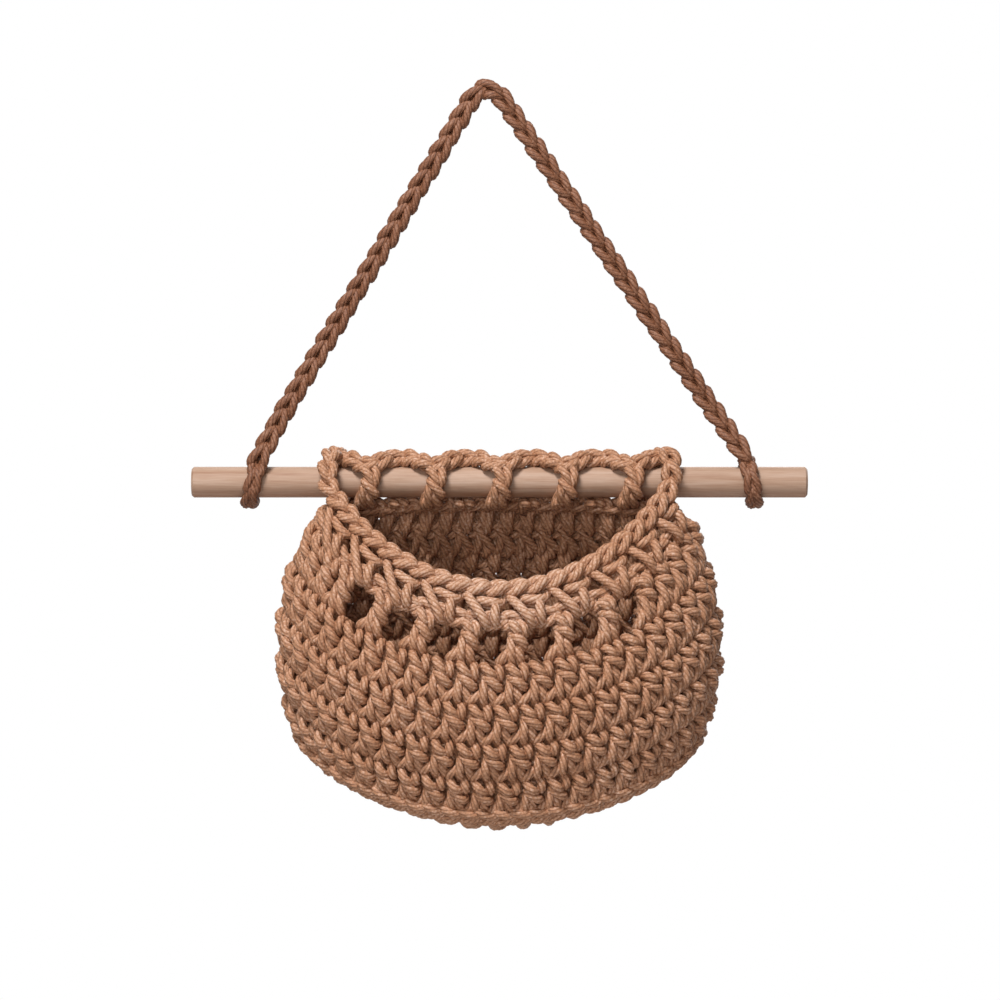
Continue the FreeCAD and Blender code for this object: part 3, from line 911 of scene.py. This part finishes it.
# Edges on the dowel
def casing_guide():
    """Guide of the edge chain that waves over the dowel, from the right to the left."""
    points = []
    faces = []
    for i in range(CASING_STEPS + 1):
        x = CASING_HALF_LENGTH * (1 - 2 * i / CASING_STEPS)
        dip = (1 + math.cos(FULL_TURN * x / CASING_PITCH)) / 2
        lean = CREST_LEAN + (DIP_LEAN - CREST_LEAN) * dip
        points.append(round_dowel(x, lean, CREST_REACH + (DIP_REACH - CREST_REACH) * dip))
        faces.append(round_dowel(0, CREST_LOOK + (DIP_LOOK - CREST_LOOK) * dip, 1))
    return Guide(points, faces)


def rim_guide():
    """Guide of the front rim, from the right corner on the dowel round to the left one."""
    corner = []
    for i in range(CORNER_STEPS):
        share = i / CORNER_STEPS
        lean = CORNER_BACK_LEAN + (RIM_CORNER_LEAN - CORNER_BACK_LEAN) * share
        corner.append(round_dowel(RIM_HALF_WIDTH - CORNER_SIDESTEP * (1 - share), lean, EDGE_REACH))
    for turn in CORNER_TURNS:
        corner.append(round_dowel(RIM_HALF_WIDTH, RIM_CORNER_LEAN - turn, EDGE_REACH))
    corner_faces = [Vector((0, point.y, point.z)).normalized() for point in corner]
    scoop = []
    for degrees in range(RIM_END, -RIM_END - 1, -RIM_STEP):
        scoop.append(rim_point(math.radians(degrees)))
    scoop_faces = []
    for point in scoop:
        scoop_faces.append(Vector((point.x / RIM_HALF_WIDTH * RIM_FACE.x, RIM_FACE.y, RIM_FACE.z)))
    mirrored = [Vector((-point.x, point.y, point.z)) for point in reversed(corner)]
    faces = corner_faces + scoop_faces + list(reversed(corner_faces))
    return Guide(corner + scoop + mirrored, faces)


def edges(work):
    """Casing chain over the dowel, and the rim that goes on from its ends."""
    casing = chain_stitches(casing_guide(), CHAIN_PITCH, CASING_LEG, CASING_DEPTH)
    rim = rim_stitches(rim_guide())
    yarn_piece(work, "casing_chain", split(casing), CHAIN_YARN_RADIUS)
    yarn_piece(work, "rim_edging", split(rim), RIM_YARN_RADIUS)


def casing_post(x, start, end):
    """Yarn of one post that wraps the dowel between two leans from its top."""
    strand = []
    for across, up, out in STITCH_POST:
        lean = start + (end - start) * up / STITCH_HEIGHT
        reach = CASING_RADIUS + YARN_RADIUS + (out + POST_BACK) * POST_FLATNESS
        side = max(across * POST_SPREAD, -POST_FOOT)
        strand.append(round_dowel(x + side, lean, reach) + wander())
    return strand


def casing_posts(work):
    """Posts that pass before the dowel at the dips of the casing chain, and behind it between."""
    half = FRONT_CASING_POSTS // 2
    front_xs = [CASING_PITCH * i for i in range(-half, half + 1)]
    back_xs = [x + CASING_PITCH / 2 for x in front_xs[:-1]]
    for node, xs, start, end in (
        ("front_casing_posts", front_xs, -POST_FOOT_LEAN, DIP_LEAN),
        ("back_casing_posts", back_xs, POST_FOOT_LEAN, BACK_POST_LEAN),
    ):
        yarn_piece(work, node, [casing_post(x, start, end) for x in xs], YARN_RADIUS)


# Camera, light and floor
def place_camera():
    """Camera square to the front, far off, with the photograph's frame."""
    data = bpy.data.cameras.new("camera")
    data.sensor_width = SENSOR_WIDTH
    data.lens = SENSOR_WIDTH * CAMERA_DISTANCE / FRAME_WIDTH
    camera = link(bpy.data.objects.new("camera", data))
    camera.location = metres_from_hook(CAMERA_TARGET + Vector((0, -CAMERA_DISTANCE, 0)))
    camera.rotation_euler = (math.radians(90), 0, 0)
    bpy.context.scene.camera = camera


def backdrop():
    """White where it is seen, straight or in a gloss, and a dim warm light on the object."""
    world = bpy.data.worlds.new("backdrop")
    bpy.context.scene.world = world
    world.use_nodes = True
    world.node_tree.nodes.clear()
    shade = Shade(world.node_tree)
    seen = shade.node("ShaderNodeLightPath", result="Is Camera Ray")
    glossy = shade.node("ShaderNodeLightPath", result="Is Glossy Ray")
    through = shade.node("ShaderNodeLightPath", result="Is Transmission Ray")
    white = shade.node("ShaderNodeBackground", None, {"Color": WHITE, "Strength": 1.0})
    light = shade.node("ShaderNodeBackground", None, {"Color": AMBIENT, "Strength": 1.0})
    mixed = shade.node("ShaderNodeMixShader", None, {
        0: shade.node("ShaderNodeClamp", None, {0: seen + glossy + through}), 1: light, 2: white,
    })
    shade.node("ShaderNodeOutputWorld", None, {"Surface": mixed})
    bpy.context.scene.view_settings.view_transform = "Standard"


def lamp(name, place, size, power):
    """Soft square lamp that looks at the basket."""
    data = bpy.data.lights.new(name, "AREA")
    data.size = size
    data.energy = power
    holder = link(bpy.data.objects.new(name, data))
    holder.location = place
    holder.rotation_euler = (LAMP_AIM - Vector(place)).to_track_quat("-Z", "Y").to_euler()


def floor():
    """Pale round floor that takes the shadow."""
    bpy.ops.mesh.primitive_circle_add(vertices=FLOOR_SIDES, radius=FLOOR_REACH, fill_type="NGON")
    ground = bpy.context.object
    ground.name = "floor"
    for vertex in ground.data.vertices:
        vertex.co.z = FLOOR_HEIGHT
    pale, shade = new_finish("floor_pale")
    surface = shade.node("ShaderNodeBsdfDiffuse", None, {"Color": FLOOR_PALE})
    shade.node("ShaderNodeOutputMaterial", None, {"Surface": surface})
    ground.data.materials.append(pale)


# Pieces, always in this order, because their chance shifts are drawn one after another
place_camera()
hanging_work = Work("hanger", "hanging_cotton", cotton("hanging_cotton", HANGING_COLOURS))
basket_work = Work("basket", "basket_cotton", cotton("basket_cotton", BASKET_COLOURS))
hanging_cord(hanging_work)
cord_loops(hanging_work)
pouch_rounds(basket_work)
open_work(basket_work)
hoop_chains(basket_work)
edges(basket_work)
casing_posts(basket_work)
foundation_chain(basket_work)
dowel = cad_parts["dowel"]
dowel.data.materials.clear()
dowel.data.materials.append(pine("dowel_wood"))

# The studio
backdrop()
for name, place, size, power in LAMPS:
    lamp(name, place, size, power)
floor()
